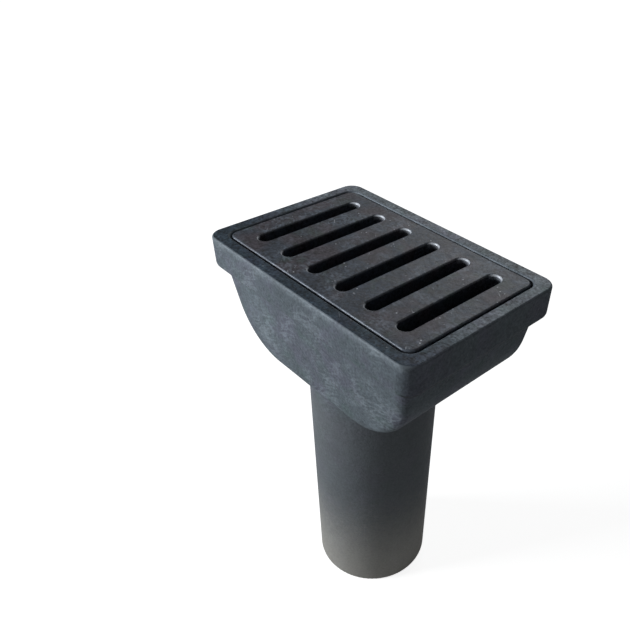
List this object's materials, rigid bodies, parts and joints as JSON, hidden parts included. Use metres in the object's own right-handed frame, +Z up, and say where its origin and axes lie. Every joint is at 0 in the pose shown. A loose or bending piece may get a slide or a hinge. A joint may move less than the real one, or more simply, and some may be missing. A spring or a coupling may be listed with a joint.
{
  "type": "deck drain",
  "caption": "Cast deck drain: a rectangular frame with a lay-in slotted grate, on a hopper whose ends sweep down into a round outlet pipe.",
  "frame": {"origin": "middle of the outlet pipe's lower end, which is the centre of the bottom of the bounding box", "axes": "+Z up along the outlet pipe, +X along the long side of the frame, +Y across it, along the slots"},
  "size_m": [0.3, 0.2, 0.457],
  "materials": {
    "body_casting": "bare as-cast iron, blue-grey, with a dull sandy skin and faint brown stains",
    "grate_casting": "bare as-cast iron, charcoal grey, with a dull sandy skin and small light specks"
  },
  "bodies": {
    "root": {"drain_body": "body_casting", "slotted_grate": "grate_casting"}
  },
  "joints": []
}
